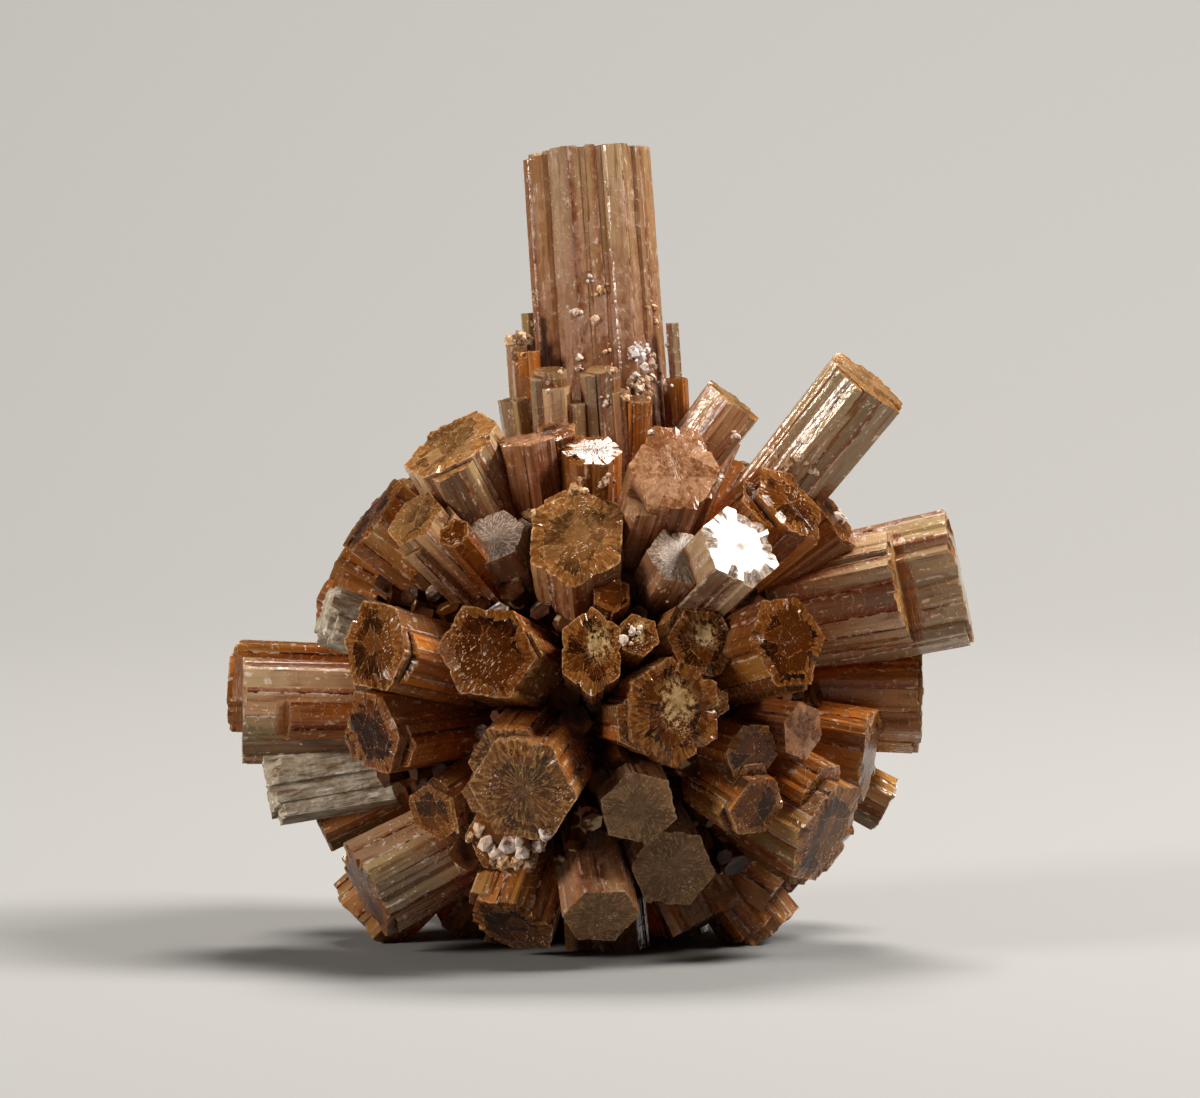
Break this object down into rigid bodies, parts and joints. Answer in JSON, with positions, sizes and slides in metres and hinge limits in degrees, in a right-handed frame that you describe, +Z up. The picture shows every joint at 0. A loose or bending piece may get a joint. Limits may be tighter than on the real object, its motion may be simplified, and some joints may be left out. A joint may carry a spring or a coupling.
{
  "type": "aragonite sputnik cluster",
  "caption": "Ball of twinned six-sided mineral prisms grown out from one heart, with a tall spire on top and a small flat spot to rest on.",
  "frame": {"origin": "on the floor, under the middle of the cluster's box", "axes": "+Z up along the spire, -Y towards the side that the picture shows, +X to the right in it"},
  "size_m": [0.0558, 0.0486, 0.0599],
  "materials": {
    "amber_aragonite": "satin, striated along the prisms"
  },
  "bodies": {
    "root": {"aragonite_cluster": "amber_aragonite"}
  },
  "joints": []
}
